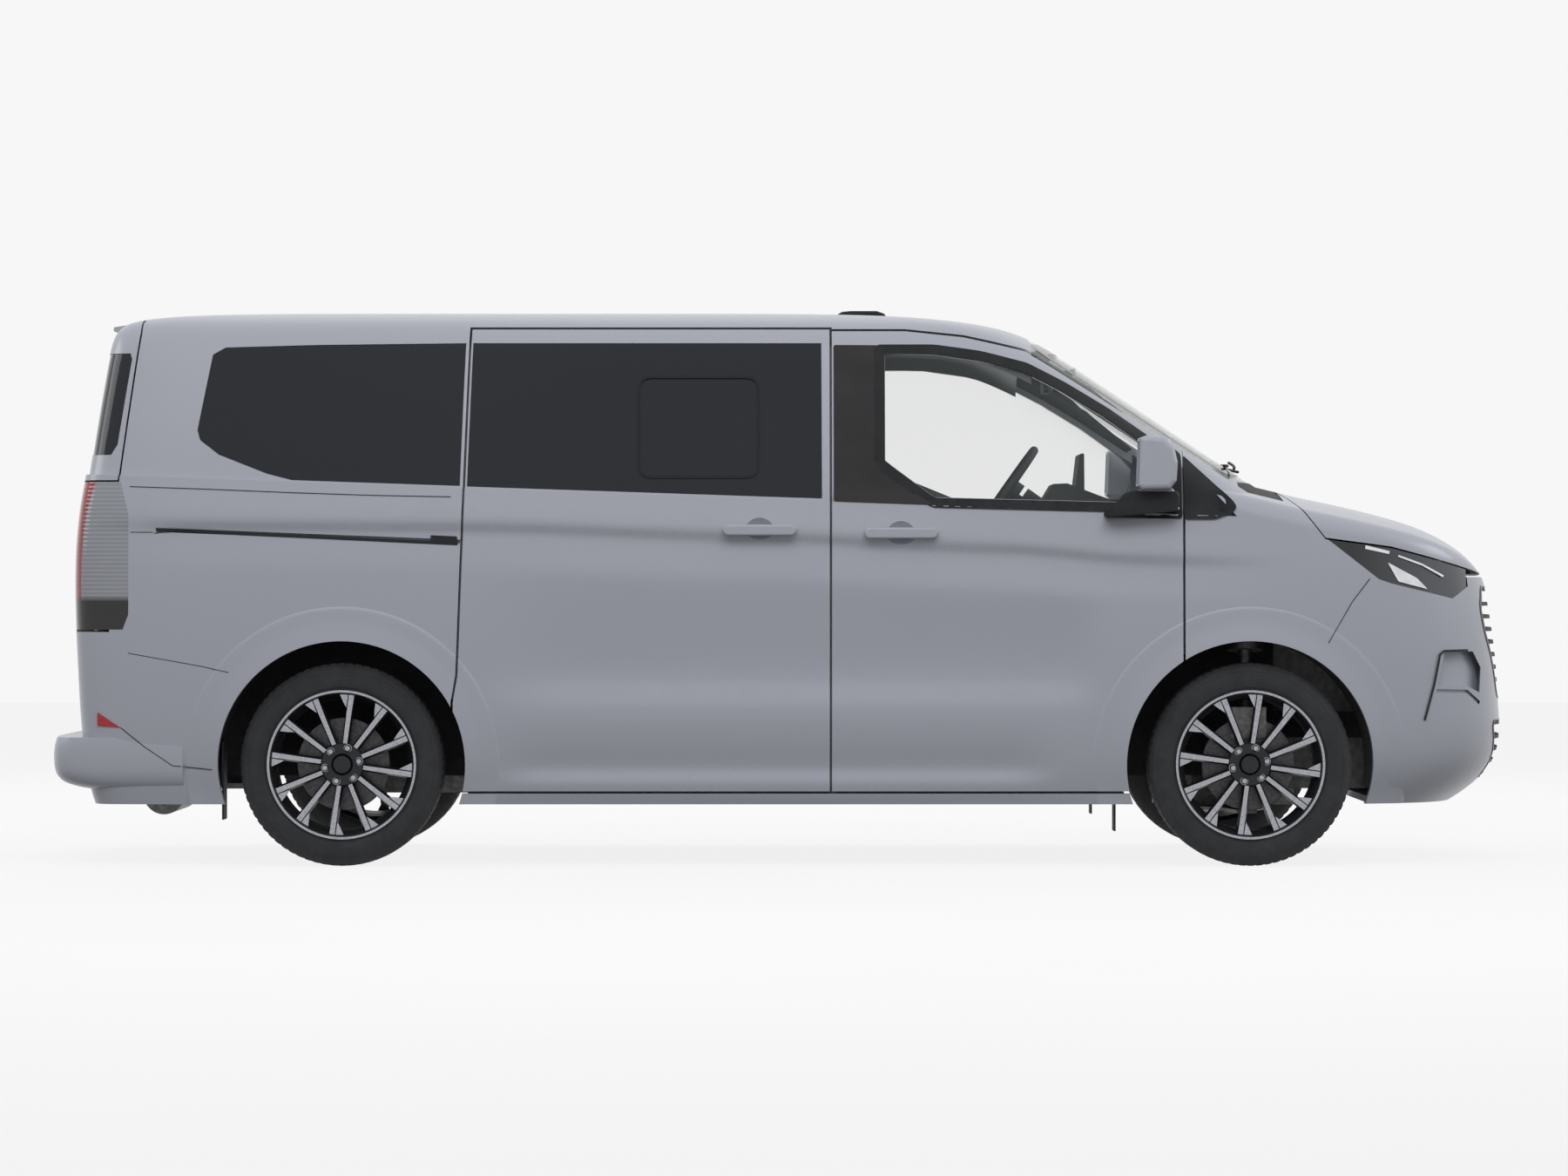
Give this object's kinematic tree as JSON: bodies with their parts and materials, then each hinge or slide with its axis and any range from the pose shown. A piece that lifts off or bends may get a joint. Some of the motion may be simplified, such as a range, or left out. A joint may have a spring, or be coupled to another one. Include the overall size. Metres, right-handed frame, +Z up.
{
  "type": "minibus",
  "caption": "Grey passenger minibus with sliding side doors, dark rear windows, alloy wheels, a hinged bonnet and a lifting tailgate.",
  "frame": {"origin": "on the ground below the middle of the overall length and width", "axes": "+X points to the front, +Y to the left, +Z up"},
  "size_m": [5.0463, 2.274, 1.936],
  "materials": {
    "paint": "gloss",
    "underbody": "matte",
    "clear_glass": "clear",
    "dark_glass": "dark tint",
    "black_plastic": "matte",
    "trim_plastic": "grained",
    "seat_fabric": "woven",
    "steel": "dull",
    "engine": "cast",
    "lamp_clear": "clear",
    "tyre": "rubber",
    "rim": "machined"
  },
  "bodies": {
    "body": {"floor_pan": "underbody", "front_structure": "underbody", "body_side_left": "paint", "body_side_right": "paint", "roof": "paint", "wing_left": "paint", "wing_right": "paint", "front_bumper": "paint", "grille": "black_plastic", "headlamps": "lamp_clear", "windscreen": "clear_glass", "cowl": "black_plastic", "sliding_door_left": "paint", "sliding_door_right": "paint", "side_glass": "dark_glass", "rear_bumper": "paint", "tail_lamps": "lamp_clear", "dashboard": "trim_plastic", "engine_block": "engine", "front_seats": "seat_fabric", "second_seats": "seat_fabric", "third_seats": "seat_fabric", "seat_frames": "steel", "front_subframe": "steel", "rear_axle": "steel", "fuel_tank": "black_plastic", "exhaust": "steel", "arch_liners": "black_plastic", "mudflaps": "black_plastic", "roof_antenna": "black_plastic"},
    "front_door_left": {"door_left": "paint", "door_glass_left": "clear_glass", "mirror_left": "paint"},
    "hub_left": {"knuckle_left": "steel"},
    "wheel_front_left": {"tyre_front_left": "tyre", "rim_front_left": "rim"},
    "wheel_rear_left": {"tyre_rear_left": "tyre", "rim_rear_left": "rim"},
    "front_door_right": {"door_right": "paint", "door_glass_right": "clear_glass", "mirror_right": "paint"},
    "hub_right": {"knuckle_right": "steel"},
    "wheel_front_right": {"tyre_front_right": "tyre", "rim_front_right": "rim"},
    "wheel_rear_right": {"tyre_rear_right": "tyre", "rim_rear_right": "rim"},
    "bonnet": {"bonnet_panel": "paint"},
    "tailgate": {"tailgate_panel": "paint", "tailgate_glass": "dark_glass"},
    "steering_wheel": {"steering_wheel": "trim_plastic"}
  },
  "joints": [
    {"name": "steer_right", "type": "hinge", "parent": "body", "child": "hub_right", "pos_m": [1.591, -0.75792, 0.347], "axis": [0, 0.1393, 0.9903], "range_deg": [-35, 35]},
    {"name": "steer_left", "type": "hinge", "parent": "body", "child": "hub_left", "pos_m": [1.591, 0.75792, 0.347], "axis": [0, -0.1393, 0.9903], "range_deg": [-35, 35]},
    {"name": "steering_wheel_turn", "type": "hinge", "parent": "body", "child": "steering_wheel", "pos_m": [0.775, -0.385, 1.288], "axis": [0.8192, 0, -0.5736], "range_deg": [-500, 500]},
    {"name": "wheel_front_right_spin", "type": "hinge", "parent": "hub_right", "child": "wheel_front_right", "pos_m": [1.591, -0.868, 0.347], "axis": [0, 1, 0], "continuous": true},
    {"name": "wheel_rear_right_spin", "type": "hinge", "parent": "body", "child": "wheel_rear_right", "pos_m": [-1.509, -0.868, 0.347], "axis": [0, 1, 0], "continuous": true},
    {"name": "front_door_right_hinge", "type": "hinge", "parent": "body", "child": "front_door_right", "pos_m": [1.372, -1.02, 0.9], "axis": [0, 0, 1], "range_deg": [0, 65]},
    {"name": "wheel_front_left_spin", "type": "hinge", "parent": "hub_left", "child": "wheel_front_left", "pos_m": [1.591, 0.868, 0.347], "axis": [0, 1, 0], "continuous": true},
    {"name": "wheel_rear_left_spin", "type": "hinge", "parent": "body", "child": "wheel_rear_left", "pos_m": [-1.509, 0.868, 0.347], "axis": [0, 1, 0], "continuous": true},
    {"name": "front_door_left_hinge", "type": "hinge", "parent": "body", "child": "front_door_left", "pos_m": [1.372, 1.02, 0.9], "axis": [0, 0, -1], "range_deg": [0, 65]},
    {"name": "bonnet_hinge", "type": "hinge", "parent": "body", "child": "bonnet", "pos_m": [1.713, 0, 1.302], "axis": [0, -1, 0], "range_deg": [0, 50]},
    {"name": "tailgate_hinge", "type": "hinge", "parent": "body", "child": "tailgate", "pos_m": [-2.205, 0, 1.892], "axis": [0, 1, 0], "range_deg": [0, 80]}
  ],
  "couplings": [
    {"joint": "steer_left", "follows": "steer_right", "ratio": 1},
    {"joint": "steering_wheel_turn", "follows": "steer_right", "ratio": -14}
  ]
}
